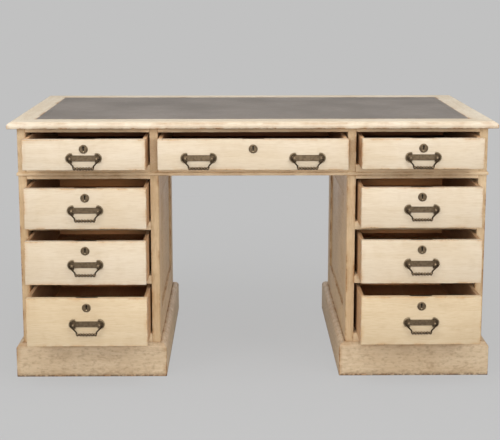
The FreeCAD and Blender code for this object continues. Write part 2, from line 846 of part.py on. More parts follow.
def make_lock(name, x, face, top):
    z = top - size.lock_drop
    inner_face = face + size.drawer_front
    case_along = (inner_face - size.lock_thickness, inner_face)
    half = size.lock_width / 2
    case = board(f"{name}_case", (x - half, x + half), case_along, (top - size.lock_height, top))
    near, far = bolt_span()
    bolt_half = size.bolt_width / 2
    bolt_up = (top - size.bolt_inset - size.bolt_height, top - size.bolt_inset)
    bolt = board(f"{name}_bolt", (x - bolt_half, x + bolt_half), (face + near, face + far), bolt_up)
    play = size.running_gap
    channel_across = (x - bolt_half - play, x + bolt_half + play)
    channel_along = (face + near - play, face + far + play)
    channel = board(f"{name}_channel", channel_across, channel_along, (bolt_up[0] - play, top + play))
    keyhole_middle = z + size.keyhole_rise - (size.keyhole_length - size.keyhole_radius) / 2
    bore_start = (x, case_along[0], keyhole_middle)
    bore = rod(f"{name}_bore", size.key_bore_radius, bore_start, "y", size.key_bore_depth)
    screws = []
    pilots = []
    corner_x = half - size.lock_screw_inset
    corner_z = (top - size.lock_screw_inset, top - size.lock_height + size.lock_screw_inset)
    for number, (across, up) in enumerate((sign * corner_x, level) for sign in (-1, 1) for level in corner_z):
        screw, pilot = lock_screw(f"{name}_lock_screw_{number + 1}", x + across, inner_face, up)
        screws.append(screw)
        pilots.append(pilot)
    lock_case = cut(f"{name}_lock_case", case, [channel, bore] + screws)

    barrel_length = size.drawer_front - size.lock_thickness
    rim = size.escutcheon_radius - size.escutcheon_rim_width
    corners = [
        (0, barrel_length),
        (size.barrel_radius, barrel_length),
        (size.barrel_radius, 0),
        (size.escutcheon_radius, 0),
        (size.escutcheon_radius, -size.escutcheon_edge),
        (rim, -size.escutcheon_rim),
        (size.barrel_radius, -size.escutcheon_dish),
        (0, -size.escutcheon_dish),
    ]
    turned = new_body(f"{name}_turned_escutcheon")
    sketch = sketch_on(turned, "XY_Plane", "profile")
    outline(sketch, corners)
    revolve(turned, sketch, "V_Axis")
    place(turned, x, face, z)
    stud = doc.addObject("Part::Sphere", f"{name}_stud")
    stud.setExpression("Radius", size.stud_radius.text)
    place(stud, x, face - size.escutcheon_dish, z - size.stud_drop)
    studded = fused(f"{name}_studded_escutcheon", [turned, stud])
    outer = face - size.escutcheon_rim
    hole_length = barrel_length + size.escutcheon_rim
    eye = rod(f"{name}_key_eye", size.keyhole_radius, (x, outer, z + size.keyhole_rise), "y", hole_length)
    slot_half = size.keyhole_slot / 2
    slot_up = (z + size.keyhole_rise - size.keyhole_length, z + size.keyhole_rise)
    slot = board(f"{name}_key_slot", (x - slot_half, x + slot_half), (outer, outer + hole_length), slot_up)
    escutcheon = cut(f"{name}_escutcheon", studded, [fused(f"{name}_keyhole", [eye, slot])])
    barrel = rod(f"{name}_barrel", size.barrel_radius, (x, face, z), "y", barrel_length)
    return [lock_case, escutcheon] + screws, bolt, [case, barrel] + pilots


# A drawer of five boards, with its lock, its handles and their bails
def make_drawer(name, bay, opening, top_gap, handle_offsets, handle_drop, tails):
    face = front - vars(size)[f"pull_{name}"]
    inner_face = face + size.drawer_front
    depth = carcass_depth - size.back_frame_thickness - size.drawer_rear_gap
    rear = face + depth
    middle = drawer_middle(name, bay)
    half_width = drawer_half_width(bay)
    left = middle - half_width
    right = middle + half_width
    foot = opening[0] + size.running_gap
    front_up = (opening[0] + size.drawer_foot_gap, opening[1] - top_gap)
    side_top = front_up[1] - size.drawer_side_drop
    floor = foot + size.bottom_raise
    lining = floor + size.drawer_bottom

    held = (left + size.drawer_side - size.bottom_groove, right - size.drawer_side + size.bottom_groove)
    bottom = board(f"{name}_bottom", held, (inner_face - size.bottom_groove, rear), (floor, lining))
    between = (left + size.drawer_side, right - size.drawer_side)
    back_up = (lining, side_top - size.drawer_back_drop)
    back_board = board(f"{name}_back", between, (rear - size.drawer_back, rear), back_up)
    sides = []
    for hand, x in (("left", left), ("right", right - size.drawer_side)):
        blank = dovetailed_side(f"{name}_{hand}_blank", x, face, foot, side_top - foot, depth, tails)
        sides.append(cut(f"{name}_{hand}_side", blank, [bottom]))

    metal, bolt, lock_cuts = make_lock(name, middle, face, front_up[1])
    drilled = []
    handle_z = front_up[1] - handle_drop
    for suffix, offset in handle_offsets.items():
        x = middle + offset
        handle = f"{name}{suffix}"
        posts = []
        necks = []
        for hand, sign in HANDS.items():
            post_x = x + sign * size.post_spacing / 2
            post, nut, shank, neck = make_post(f"{handle}_{hand}_post", post_x, face, handle_z, sign)
            metal += [post, nut]
            drilled.append(shank)
            necks.append(neck)
        plate = make_plate(f"{handle}_plate_blank", x, face, handle_z)
        metal.append(cut(f"{handle}_plate", plate, necks))
        make_bail(f"bail_{handle}", x, face, handle_z)
    blank = board(f"{name}_front_blank", (left, right), (face, inner_face), front_up)
    show = cut(f"{name}_front", blank, sides + [bottom] + lock_cuts + drilled)
    node(f"drawer_{name}", [show] + sides + [back_board, bottom])
    node(f"fittings_{name}", metal)
    node(f"bolt_{name}", [bolt])


def drawer_half_width(bay):
    return (bay[1] - bay[0]) / 2 - size.drawer_side_gap


def handle_under_lock():
    """How far below the top of a drawer front a handle hangs if it only just clears the escutcheon."""
    return size.lock_drop + size.escutcheon_radius + size.handle_clearance + size.plate_bar_height / 2


def handle_below_middle(front_height):
    return largest([front_height / 2 + size.handle_low, handle_under_lock()])


def centre_handle_offset():
    """The wide drawer's handles stand a little outside its quarter points."""
    return drawer_half_width(centre_bay) / 2 + size.centre_handle_outset


def make_drawers():
    single = {"": as_length(0)}
    pair = {"_left": -centre_handle_offset(), "_right": centre_handle_offset()}
    frieze = (frieze_opening, size.frieze_top_gap)
    make_drawer("frieze_centre", centre_bay, *frieze, pair, handle_under_lock(), FRIEZE_TAILS)
    ranks = {
        "upper": (upper_opening, UPPER_TAILS),
        "middle": (middle_opening, MIDDLE_TAILS),
        "lower": (lower_opening, LOWER_TAILS),
    }
    for hand in HANDS:
        bay = handed(hand, *side_bay)
        make_drawer(f"frieze_{hand}", bay, *frieze, single, handle_under_lock(), FRIEZE_TAILS)
        for rank, (opening, tails) in ranks.items():
            front_height = opening[1] - size.pedestal_top_gap - opening[0] - size.drawer_foot_gap
            handle_drop = handle_below_middle(front_height)
            make_drawer(f"{hand}_{rank}", bay, opening, size.pedestal_top_gap, single, handle_drop, tails)


make_top()
make_frieze()
for pedestal_hand in HANDS:
    make_pedestal(pedestal_hand)
make_drawers()
doc.recompute()

faults = [item.Label for item in doc.Objects if "Invalid" in item.State or "Error" in item.State]
faults += [item.Label for item in nodes if item.Shape.isNull() or not item.Shape.isValid()]
if faults:
    raise RuntimeError(f"these did not build: {', '.join(faults)}")

os.makedirs("parts", exist_ok=True)
for item in nodes:
    item.Shape.exportStep(f"parts/{item.Label}.step")
print(f"{len(nodes)} nodes, {sum(len(item.Shape.Solids) for item in nodes)} solids")
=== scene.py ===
import json
import math
import random

import bmesh
import bpy
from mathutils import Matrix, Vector

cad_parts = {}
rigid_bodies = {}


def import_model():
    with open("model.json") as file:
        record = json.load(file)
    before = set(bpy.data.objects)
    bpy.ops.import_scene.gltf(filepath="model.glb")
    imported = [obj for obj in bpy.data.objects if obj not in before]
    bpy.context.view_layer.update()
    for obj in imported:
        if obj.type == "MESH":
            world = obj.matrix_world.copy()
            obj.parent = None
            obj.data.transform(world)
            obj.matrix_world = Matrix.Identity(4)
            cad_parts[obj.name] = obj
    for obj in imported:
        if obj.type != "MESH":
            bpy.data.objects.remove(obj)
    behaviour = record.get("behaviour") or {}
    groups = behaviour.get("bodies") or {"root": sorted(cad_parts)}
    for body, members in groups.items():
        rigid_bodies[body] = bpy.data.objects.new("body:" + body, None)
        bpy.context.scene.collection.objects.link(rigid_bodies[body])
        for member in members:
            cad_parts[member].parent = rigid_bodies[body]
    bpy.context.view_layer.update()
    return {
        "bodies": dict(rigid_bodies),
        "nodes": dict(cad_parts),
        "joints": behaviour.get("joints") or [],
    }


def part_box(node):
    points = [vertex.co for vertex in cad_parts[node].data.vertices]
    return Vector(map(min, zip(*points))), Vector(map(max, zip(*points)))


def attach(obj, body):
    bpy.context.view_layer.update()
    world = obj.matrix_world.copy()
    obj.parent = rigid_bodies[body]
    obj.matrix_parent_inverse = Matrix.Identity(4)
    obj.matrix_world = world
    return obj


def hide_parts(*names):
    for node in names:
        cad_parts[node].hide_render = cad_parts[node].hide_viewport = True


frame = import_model()


# Plinths: the two skirted bases that the pedestals drop into.
# Each is four limed oak boards with a rounded top edge, mitred at the corners,
# rubbed warm along the edges and scuffed dark close to the floor.
def srgb(red, green, blue):
    """A colour given as it is seen, 0 to 255, as the linear colour that a socket takes."""
    shares = [value / 255 for value in (red, green, blue)]
    linear = [s / 12.92 if s <= 0.04045 else ((s + 0.055) / 1.055) ** 2.4 for s in shares]
    return (*linear, 1.0)


class Wired:
    """A socket in a node tree, which can be used in sums."""

    def __init__(self, tree, socket):
        self.tree = tree
        self.socket = socket

    def math(self, operation, *values):
        sockets = dict(zip(("Value", "Value_001", "Value_002"), values))
        return add_node(self.tree, "ShaderNodeMath", {"operation": operation}, sockets)

    def __add__(self, other):
        return self.math("ADD", self, other)

    def __radd__(self, other):
        return self.math("ADD", other, self)

    def __sub__(self, other):
        return self.math("SUBTRACT", self, other)

    def __rsub__(self, other):
        return self.math("SUBTRACT", other, self)

    def __mul__(self, other):
        return self.math("MULTIPLY", self, other)

    def __rmul__(self, other):
        return self.math("MULTIPLY", other, self)

    def __truediv__(self, other):
        return self.math("DIVIDE", self, other)

    def __pow__(self, other):
        return self.math("POWER", self, other)

    def __abs__(self):
        return self.math("ABSOLUTE", self)

    def lesser(self, other):
        return self.math("MINIMUM", self, other)

    def greater(self, other):
        return self.math("MAXIMUM", self, other)

    def between(self, low, high):
        """0 below low, 1 above high, and a smooth step from one to the other."""
        sockets = {"Value": self, "From Min": low, "From Max": high}
        return add_node(self.tree, "ShaderNodeMapRange", {"interpolation_type": "SMOOTHSTEP"}, sockets)


def add_node(tree, kind, settings=None, sockets=None, result=0):
    """A node with its settings, then its socket values or links; gives one of its outputs."""
    node = tree.nodes.new(kind)
    for name, value in (settings or {}).items():
        setattr(node, name, value)
    inputs = {socket.identifier: socket for socket in node.inputs}
    for name, value in (sockets or {}).items():
        if isinstance(value, Wired):
            tree.links.new(value.socket, inputs[name])
        else:
            inputs[name].default_value = value
    if not node.outputs:
        return node
    return Wired(tree, node.outputs[result])


class Finish:
    """A surface finish: a material whose nodes are added one at a time."""

    def __init__(self, name):
        self.material = bpy.data.materials.new(name)
        self.material.use_nodes = True
        self.tree = self.material.node_tree
        self.tree.nodes.clear()

    def node(self, kind, settings=None, sockets=None, result=0):
        return add_node(self.tree, kind, settings, sockets, result)

    def places(self):
        return self.node("ShaderNodeTexCoord", None, None, "Object")

    def stretched(self, vector, scale):
        return self.node("ShaderNodeMapping", None, {"Vector": vector, "Scale": scale})

    def attribute(self, name, result="Fac"):
        return self.node("ShaderNodeAttribute", {"attribute_name": name}, None, result)

    def parts(self, vector):
        split = self.node("ShaderNodeSeparateXYZ", None, {"Vector": vector})
        return [Wired(self.tree, socket) for socket in split.socket.node.outputs]

    def vector(self, x, y, z):
        return self.node("ShaderNodeCombineXYZ", None, {"X": x, "Y": y, "Z": z})

    def noise(self, vector, scale, detail):
        sockets = {"Vector": vector, "Scale": scale, "Detail": detail}
        return self.node("ShaderNodeTexNoise", None, sockets)

    def mix(self, share, first, second):
        sockets = {"Factor_Float": share, "A_Color": first, "B_Color": second}
        return self.node("ShaderNodeMix", {"data_type": "RGBA"}, sockets, 2)

    def bump(self, height, strength, distance):
        sockets = {"Height": height, "Strength": strength, "Distance": distance}
        return self.node("ShaderNodeBump", None, sockets)

    def surface(self, **values):
        sockets = {name.replace("_", " "): value for name, value in values.items()}
        shader = self.node("ShaderNodeBsdfPrincipled", None, sockets)
        self.node("ShaderNodeOutputMaterial", None, {"Surface": shader})
        return self.material


def oak(name, pale, warm, line, edge, wear, floor_scuffs=0.0, inside_stain_and_shade=None):
    """Oak on each board's own grain, uneven in colour and worn along the arrises.

    floor_scuffs is how strongly its foot is marked; the pair of inside colours is for bare inside faces,
    brown stain with painted shade in it.
    """
    nick_brown = srgb(98, 68, 42)
    corner_painted_shade = srgb(118, 74, 42)
    scuff_brown = srgb(150, 122, 92)
    chip_brown = srgb(86, 64, 45)
    finish = Finish(name)
    grain = finish.attribute("grain", "Vector")
    half = finish.attribute("half", "Vector")
    seed = finish.attribute("seed")
    along, across, through = finish.parts(grain)
    places = finish.places()

    def grained(x, y, z, detail):
        return finish.noise(finish.vector(x, y, z), 1.0, detail)

    drift = grained(along * 2.2 + seed * 31, across * 7 + seed * 17, through * 7, 2.0) - 0.5
    side = across + through * 0.7 + drift * 0.03
    figure = grained(along * 2.6 + seed * 57, side * 60, through * 60 + seed * 9, 5.0)
    fibre = grained(along * 34 + seed * 23, side * 420, through * 420, 3.0)
    fibre_lines = fibre.between(0.4, 0.76)
    pores = grained(along * 70, side * 1100 + seed * 41, through * 1100, 2.0).between(0.54, 0.72)
    cloud = finish.noise(places, 6.5, 6.0).between(0.34, 0.68)
    smudge = finish.noise(places, 30.0, 5.0).between(0.5, 0.78)
    tone = (figure.between(0.28, 0.74) * 0.42 + cloud * 0.46 + seed * 0.18).lesser(1)
    colour = finish.mix(tone, pale, warm)
    colour = finish.mix(fibre_lines * 0.3 + pores * 0.18 + smudge * 0.22, colour, line)

    from_middle = finish.node("ShaderNodeVectorMath", {"operation": "ABSOLUTE"}, {"Vector": grain})
    inset = finish.node(
        "ShaderNodeVectorMath",
        {"operation": "SUBTRACT"},
        {"Vector": half, "Vector_001": from_middle},
    )
    to_end, to_side, to_face = finish.parts(inset)
    to_arris = to_end.lesser(to_side).greater(to_end.greater(to_side).lesser(to_face))
    ragged = to_arris + (finish.noise(places, 120.0, 3.0) - 0.5) * 0.006
    patchy = finish.noise(places, 23.0, 3.0).between(0.38, 0.66)
    rubbed_and_lit = 1 - ragged.between(0.0004, 0.0016 + patchy * 0.0026)
    grubby = 1 - ragged.between(0.001, 0.014)
    nicks = rubbed_and_lit * finish.noise(places, 260.0, 1.0).between(0.57, 0.66) * patchy
    colour = finish.mix(grubby * patchy * wear * 0.5, colour, edge)
    colour = finish.mix(rubbed_and_lit * (0.3 + patchy * 0.7) * wear, colour, edge)
    colour = finish.mix(nicks * wear, colour, nick_brown)
    if inside_stain_and_shade:
        stain_and_shade_colour = finish.mix(tone * 0.6 + fibre_lines * 0.4, *inside_stain_and_shade)
        # Painted shade: the inside colour goes darker brown near each board's ends, in the drawer's
        # inside corners.
        corner_shade_share = 1 - to_end.between(0.0, 0.13)
        stain_and_shade_colour = finish.mix(corner_shade_share * 0.45, stain_and_shade_colour, corner_painted_shade)
        colour = finish.mix(finish.attribute("inside_tone"), colour, stain_and_shade_colour)
    if floor_scuffs:
        height = finish.parts(places)[2]
        low = 1 - height.between(0.0, 0.03)
        streaks = finish.noise(finish.stretched(places, (84, 84, 140)), 1.0, 5.0)
        grime = (streaks + low * 0.1).between(0.44, 0.8)
        colour = finish.mix(grime * floor_scuffs, colour, scuff_brown)
        at_foot = 1 - height.between(0.001, 0.01)
        chips = at_foot * finish.noise(places, 150.0, 3.0).between(0.38, 0.56)
        colour = finish.mix(chips * 0.85, colour, chip_brown)
    relief = fibre * 0.6 - pores * 0.8 + figure * 0.3 - nicks * 2
    return finish.surface(
        Base_Color=colour,
        Roughness=0.5 + fibre * 0.25,
        Normal=finish.bump(relief, 0.35, 0.0004),
        Specular_IOR_Level=0.35,
    )


def solids_of(node):
    """The separate solids of a node, each as a list of triangles of points.

    They come one after another, and one is complete when each edge has met its opposite.
    """
    mesh = frame["nodes"][node].data
    places = [tuple(vertex.co) for vertex in mesh.vertices]
    keys = [tuple(round(value * 1e6) for value in place) for place in places]
    solids = []
    triangles = []
    unmatched = {}
    for polygon in mesh.polygons:
        triangles.append([(keys[v], places[v]) for v in polygon.vertices])
        ring = [keys[v] for v in polygon.vertices]
        for start, end in zip(ring, ring[1:] + ring[:1]):
            if start == end:
                continue
            if (end, start) in unmatched:
                unmatched[end, start] -= 1
                if not unmatched[end, start]:
                    del unmatched[end, start]
            else:
                unmatched[start, end] = unmatched.get((start, end), 0) + 1
        if not unmatched:
            solids.append(triangles)
            triangles = []
    return solids


def box_of(solid):
    """Lowest and highest corner of a solid."""
    points = [place for triangle in solid for key, place in triangle]
    low = Vector([min(point[axis] for point in points) for axis in range(3)])
    high = Vector([max(point[axis] for point in points) for axis in range(3)])
    return low, high


def welded(solid):
    """A solid as one closed mesh with its flat faces whole."""
    shell = bmesh.new()
    corners = {}
    for triangle in solid:
        if len({key for key, place in triangle}) < 3:
            continue
        for key, place in triangle:
            if key not in corners:
                corners[key] = shell.verts.new(place)
        shell.faces.new([corners[key] for key, place in triangle])
    flat = math.radians(0.5)
    bmesh.ops.dissolve_limit(shell, angle_limit=flat, verts=shell.verts, edges=shell.edges)
    return shell


def arrises(shell, low, high):
    """The edges that lie along two sides of a board's box."""
    touch = 1e-5
    found = []
    for edge in shell.edges:
        sides = 0
        for axis in range(3):
            reach = [vertex.co[axis] for vertex in edge.verts]
            if all(abs(value - low[axis]) < touch for value in reach):
                sides += 1
            elif all(abs(value - high[axis]) < touch for value in reach):
                sides += 1
        if sides > 1:
            found.append(edge)
    return found


def finished_piece(name, mesh, body, nodes, smooth=30):
    """Puts a mesh in the scene as a piece that rides on a body and stands for nodes."""
    mesh.polygons.foreach_set("use_smooth", [True] * len(mesh.polygons))
    mesh.set_sharp_from_angle(angle=math.radians(smooth))
    piece = bpy.data.objects.new(name, mesh)
    bpy.context.scene.collection.objects.link(piece)
    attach(piece, body)
    if nodes:
        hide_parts(*nodes)


chance = random.Random(1904)


def boards(name, solids, material, body, nodes, easing, inside_tone_of=None):
    """Boards with eased arrises, joined to one piece.

    Each keeps its own grain direction, half sizes and seed, and the face test says how much of the inside
    stain and painted shade a face takes.
    """
    points, faces, grain, halves, seeds, inside_tone = [], [], [], [], [], []
    for solid in solids:
        low, high = box_of(solid)
        middle = (low + high) / 2
        half = (high - low) / 2
        order = sorted(range(3), key=lambda axis: -half[axis])
        seed = chance.random()
        shell = welded(solid)
        bmesh.ops.bevel(
            shell,
            geom=arrises(shell, low, high),
            offset=min(easing, half[order[2]] * 0.3),
            offset_type="OFFSET",
            segments=2,
            profile=0.5,
            affect="EDGES",
            clamp_overlap=False,
        )
        shell.verts.index_update()
        start = len(points)
        for vertex in shell.verts:
            local = vertex.co - middle
            points.append(vertex.co.copy())
            grain.extend(local[axis] for axis in order)
            halves.extend(half[axis] for axis in order)
            seeds.append(seed)
        faces.extend([start + vertex.index for vertex in face.verts] for face in shell.faces)
        if inside_tone_of:
            inside_tone.extend(inside_tone_of(middle, face.calc_center_median(), face.normal) for face in shell.faces)
        shell.free()
    mesh = bpy.data.meshes.new(name)
    mesh.from_pydata(points, [], faces)
    mesh.materials.append(material)
    if inside_tone_of:
        mesh.attributes.new("inside_tone", "FLOAT", "FACE").data.foreach_set("value", inside_tone)
    mesh.attributes.new("grain", "FLOAT_VECTOR", "POINT").data.foreach_set("vector", grain)
    mesh.attributes.new("half", "FLOAT_VECTOR", "POINT").data.foreach_set("vector", halves)
    mesh.attributes.new("seed", "FLOAT", "POINT").data.foreach_set("value", seeds)
    finished_piece(name, mesh, body, nodes)


warm_edge = srgb(162, 114, 66)
plinth_oak = oak(
    "plinth_oak",
    pale=srgb(217, 196, 165),
    warm=srgb(199, 174, 140),
    line=srgb(168, 138, 104),
    edge=warm_edge,
    wear=1.0,
    floor_scuffs=0.55,
)
plinth_easing = 0.0022
for hand in ("left", "right"):
    plinth = f"{hand}_plinth"
    boards(f"{plinth}_boards", solids_of(plinth), plinth_oak, "desk", [plinth], plinth_easing)


# Pedestals: framed carcasses of limed oak, with stiles and rails tenoned together
# round thin panels, tenoned front rails between the drawers, and plain runners
# of unpolished oak that the drawers slide on.
def carcass_boards(node, material, easing):
    boards(f"{node}_oak", solids_of(node), material, "desk", [node], easing)


carcass_oak = oak(
    "carcass_oak",
    pale=srgb(220, 195, 158),
    warm=srgb(204, 174, 133),
    line=srgb(162, 127, 88),
    edge=warm_edge,
    wear=0.8,
)
# Rail oak is a paler copy of the carcass oak: painted light that offsets the shade under the drawers on
# the front rails and the frieze bead.
rail_oak_lifted_for_shade = oak(
    "rail_oak_lifted_for_shade",
    pale=srgb(232, 208, 172),
    warm=srgb(214, 184, 144),
    line=srgb(184, 150, 112),
    edge=warm_edge,
    wear=0.35,
)
inner_oak = oak(
    "inner_oak",
    pale=srgb(164, 116, 78),
    warm=srgb(136, 92, 58),
    line=srgb(104, 68, 42),
    edge=srgb(110, 72, 44),
    wear=0.4,
)
frame_easing = 0.0012
for hand in ("left", "right"):
    for part in ("side_frames", "back_frame", "panels"):
        carcass_boards(f"{hand}_pedestal_{part}", carcass_oak, frame_easing)
    carcass_boards(f"{hand}_pedestal_front_rails", rail_oak_lifted_for_shade, frame_easing)
    carcass_boards(f"{hand}_pedestal_runners", inner_oak, frame_easing)


# Frieze: the long upper carcass that bridges the kneehole and holds three drawers.
# Sides, dividers and back are limed oak boards, with rails across the front,
# a half round bead planted along its foot and plain runners inside.
for part in ("sides", "dividers", "back"):
    carcass_boards(f"frieze_{part}", carcass_oak, frame_easing)
for part in ("front_rails", "bead"):
    carcass_boards(f"frieze_{part}", rail_oak_lifted_for_shade, frame_easing)
carcass_boards("frieze_runners", inner_oak, frame_easing)


# Top: a plain oak panel inside a mitred border of pale limed oak.
# The border is about three inches wide, its outer edge worked to a thumb moulding,
# and its upper face is flush with the leather.
border_oak = oak(
    "border_oak",
    pale=srgb(227, 216, 197),
    warm=srgb(210, 193, 167),
    line=srgb(182, 156, 124),
    edge=warm_edge,
    wear=1.0,
)
border_easing = 0.0006
carcass_boards("top_panel", carcass_oak, border_easing)
for part in ("front", "back", "ends"):
    carcass_boards(f"top_border_{part}", border_oak, border_easing)


# Writing surface: one skin of grey brown leather glued flush inside the border.
# Two blind lines are tooled close to its edge, and it is rubbed paler in patches.
def tooled_skin(low, high, rings):
    """A thin slab whose upper face steps up and down over rings at set distances from its edge."""
    skin = bmesh.new()
    loops = []
    for inset, z in [(0.0, low.z), *rings]:
        xs = (low.x + inset, high.x - inset)
        ys = (low.y + inset, high.y - inset)
        corners = [(xs[0], ys[0]), (xs[1], ys[0]), (xs[1], ys[1]), (xs[0], ys[1])]
        loops.append([skin.verts.new((x, y, z)) for x, y in corners])
    for lower, upper in zip(loops, loops[1:]):
        for corner in range(4):
            after = (corner + 1) % 4
            skin.faces.new([lower[corner], lower[after], upper[after], upper[corner]])
    skin.faces.new(loops[0][::-1])
    skin.faces.new(loops[-1])
    mesh = bpy.data.meshes.new("writing_leather")
    skin.to_mesh(mesh)
    skin.free()
    return mesh


def worn_leather():
    dark_grey = srgb(112, 104, 96)
    mid_grey = srgb(134, 125, 117)
    rubbed_grey = srgb(150, 141, 132)
    crease_brown = srgb(84, 76, 70)
    finish = Finish("writing_leather")
    places = finish.places()
    pebble = finish.node(
        "ShaderNodeTexVoronoi",
        {"feature": "SMOOTH_F1"},
        {"Vector": places, "Scale": 620.0, "Smoothness": 0.4},
        "Distance",
    )
    cloud = finish.noise(places, 5.0, 4.0).between(0.3, 0.7)
    rub = finish.noise(places, 38.0, 3.0).between(0.35, 0.75)
    colour = finish.mix(cloud, dark_grey, mid_grey)
    colour = finish.mix(rub * 0.35, colour, rubbed_grey)
    colour = finish.mix(pebble.between(0.35, 0.75) * 0.35, colour, crease_brown)
    return finish.surface(
        Base_Color=colour,
        Roughness=0.52 + rub * 0.12,
        Normal=finish.bump(1 - pebble, 0.4, 0.0003),
        Specular_IOR_Level=0.4,
    )


leather_low, leather_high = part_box("leather_inset")
leather_top = leather_high.z
skin_edge_width = 0.0004
skin_edge_drop = 0.0003
tooled_lines = (0.012, 0.0165)
tooling_depth = 0.0005
tooling_width = 0.0007
tooled_rings = [(0.0, leather_top - skin_edge_drop), (skin_edge_width, leather_top)]
for line in tooled_lines:
    tooled_rings.append((line - tooling_width, leather_top))
    tooled_rings.append((line, leather_top - tooling_depth))
    tooled_rings.append((line + tooling_width, leather_top))
skin_mesh = tooled_skin(leather_low, leather_high, tooled_rings)
skin_mesh.materials.append(worn_leather())
finished_piece("writing_leather", skin_mesh, "desk", ["leather_inset"])


# Drawers: nine boxes with limed oak fronts lapped over dovetailed sides.
# The boxes are oak left unpolished, gone brown inside with age, with that brown painted darker in the
# frieze drawers and paler in the pedestal drawers for the shade each sits in. Their upper edges are
# rubbed pale by use.
def inner_faces(low, high):
    """A test for how much of the inside stain and painted shade a face of a drawer's box, given its
    lowest and highest corner, takes.
    """
    centre = (low + high) / 2
    floor_level = low.z + (high.z - low.z) / 4
    squarely = 0.7
    # Painted light: the sides' inner faces take only a little of the dark inside colour, so they stay
    # pale against the shade they get.
    side_share_lifted_for_shade = 0.1

    def inside_tone_at(middle, place, normal):
        inward = centre - place
        across = abs(normal.x) > squarely and normal.x * inward.x > 0
        along = abs(normal.y) > squarely and normal.y * inward.y > 0
        on_floor = normal.z > squarely and middle.z < floor_level
        return 1.0 if along or on_floor else side_share_lifted_for_shade * across

    return inside_tone_at


def rank_of(drawer_name):
    """The rank whose box oak a drawer shares: the frieze, or the upper or lower part of a pedestal."""
    if drawer_name.startswith("frieze"):
        return "frieze"
    return "upper" if drawer_name.endswith("upper") else "lower"


front_edge = srgb(190, 147, 100)
front_oak = oak(
    "front_oak",
    pale=srgb(217, 202, 180),
    warm=srgb(207, 188, 160),
    line=srgb(188, 163, 128),
    edge=front_edge,
    wear=0.6,
)
low_front_oak = oak(
    "low_front_oak",
    pale=srgb(214, 194, 162),
    warm=srgb(202, 178, 142),
    line=srgb(182, 152, 114),
    edge=front_edge,
    wear=0.7,
)
# Painted shade: each rank's inside colours are set by the shade it sits in, darkest in the frieze
# drawers, with the pedestal drawers painted paler, the lower ones most, to offset their shade.
stain_and_shade_by_rank = {
    "frieze": (srgb(150, 92, 52), srgb(114, 66, 36)),
    "upper": (srgb(236, 168, 106), srgb(196, 127, 75)),
    "lower": (srgb(250, 192, 132), srgb(224, 156, 100)),
}
box_oaks = {}
for rank, stain_and_shade_pair in stain_and_shade_by_rank.items():
    box_oaks[rank] = oak(
        f"{rank}_box_oak",
        pale=srgb(210, 172, 132),
        warm=srgb(190, 148, 106),
        line=srgb(158, 116, 78),
        edge=srgb(222, 188, 150),
        wear=0.5,
        inside_stain_and_shade=stain_and_shade_pair,
    )
front_easing = 0.0016
box_easing = 0.0008
drawers = [body for body in frame["bodies"] if body.startswith("drawer_")]
for drawer in drawers:
    name = drawer.removeprefix("drawer_")
    solids = sorted(solids_of(drawer), key=lambda solid: sum(corner.y for corner in box_of(solid)))
    show_oak = low_front_oak if name.endswith("lower") else front_oak
    boards(f"front_{name}", solids[:1], show_oak, drawer, [drawer], front_easing)
    box_oak = box_oaks[rank_of(name)]
    inside_tone_of = inner_faces(*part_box(drawer))
    boards(f"box_{name}", solids[1:], box_oak, drawer, [drawer], box_easing, inside_tone_of)


# Handle plates, posts, escutcheons and locks: cast and stamped brass gone dark,
# bright where hands rub it and where highlights are painted on post heads and keyhole studs, with steel
# lock cases screwed behind the fronts.
# Two raised lines run along each plate's bar, and each rose has a rim that is rubbed and painted bright,
# and two rings painted dark as shade.
def aged_brass():
    light_brown = srgb(124, 106, 83)
    mid_brown = srgb(102, 86, 67)
    spot_brown = srgb(64, 52, 38)
    hollow_and_shade_brown = srgb(38, 26, 14)
    rubbed_and_glint_brass = srgb(222, 200, 163)
    finish = Finish("aged_brass")
    places = finish.places()
    crest = finish.attribute("crest")
    cloud = finish.noise(places, 140.0, 4.0).between(0.35, 0.7)
    spots = finish.noise(places, 620.0, 2.0).between(0.52, 0.7)
    # crest above zero is rubbed wear and painted highlights (bail tops, rose rims, post heads, the stud
    # under each keyhole); below zero it is patina in hollows and painted shade (rose rings, bail
    # undersides).
    wear_and_glint = crest.between(0.35, 1.0)
    hollow_and_shade = 1 - crest.between(-1.0, 0.0)
    colour = finish.mix(cloud, light_brown, mid_brown)
    colour = finish.mix(spots * 0.35, colour, spot_brown)
    colour = finish.mix(hollow_and_shade * 0.85, colour, hollow_and_shade_brown)
    colour = finish.mix(wear_and_glint * 0.8, colour, rubbed_and_glint_brass)
    return finish.surface(
        Base_Color=colour,
        Metallic=0.9 - spots * 0.35,
        Roughness=0.42 + spots * 0.18 - wear_and_glint * 0.14,
        Normal=finish.bump(spots, 0.2, 0.0002),
    )


def worn_steel():
    light_grey = srgb(70, 65, 59)
    dark_grey = srgb(50, 46, 41)
    rust_brown = srgb(58, 42, 30)
    finish = Finish("worn_steel")
    places = finish.places()
    brushed = finish.noise(finish.stretched(places, (60, 60, 900)), 1.0, 2.0)
    rust = finish.noise(places, 160.0, 4.0).between(0.55, 0.72)
    colour = finish.mix(brushed, light_grey, dark_grey)
    colour = finish.mix(rust * 0.6, colour, rust_brown)
    return finish.surface(
        Base_Color=colour,
        Metallic=0.95 - rust * 0.5,
        Roughness=0.36 + brushed * 0.12 + rust * 0.25,
        Normal=finish.bump(brushed, 0.12, 0.0002),
    )


def joined(name, solids, material):
    """Solids welded one by one and joined to one mesh."""
    points, faces = [], []
    for solid in solids:
        shell = welded(solid)
        shell.verts.index_update()
        start = len(points)
        points.extend(vertex.co.copy() for vertex in shell.verts)
        faces.extend([start + vertex.index for vertex in face.verts] for face in shell.faces)
        shell.free()
    mesh = bpy.data.meshes.new(name)
    mesh.from_pydata(points, [], faces)
    mesh.materials.append(material)
    return mesh


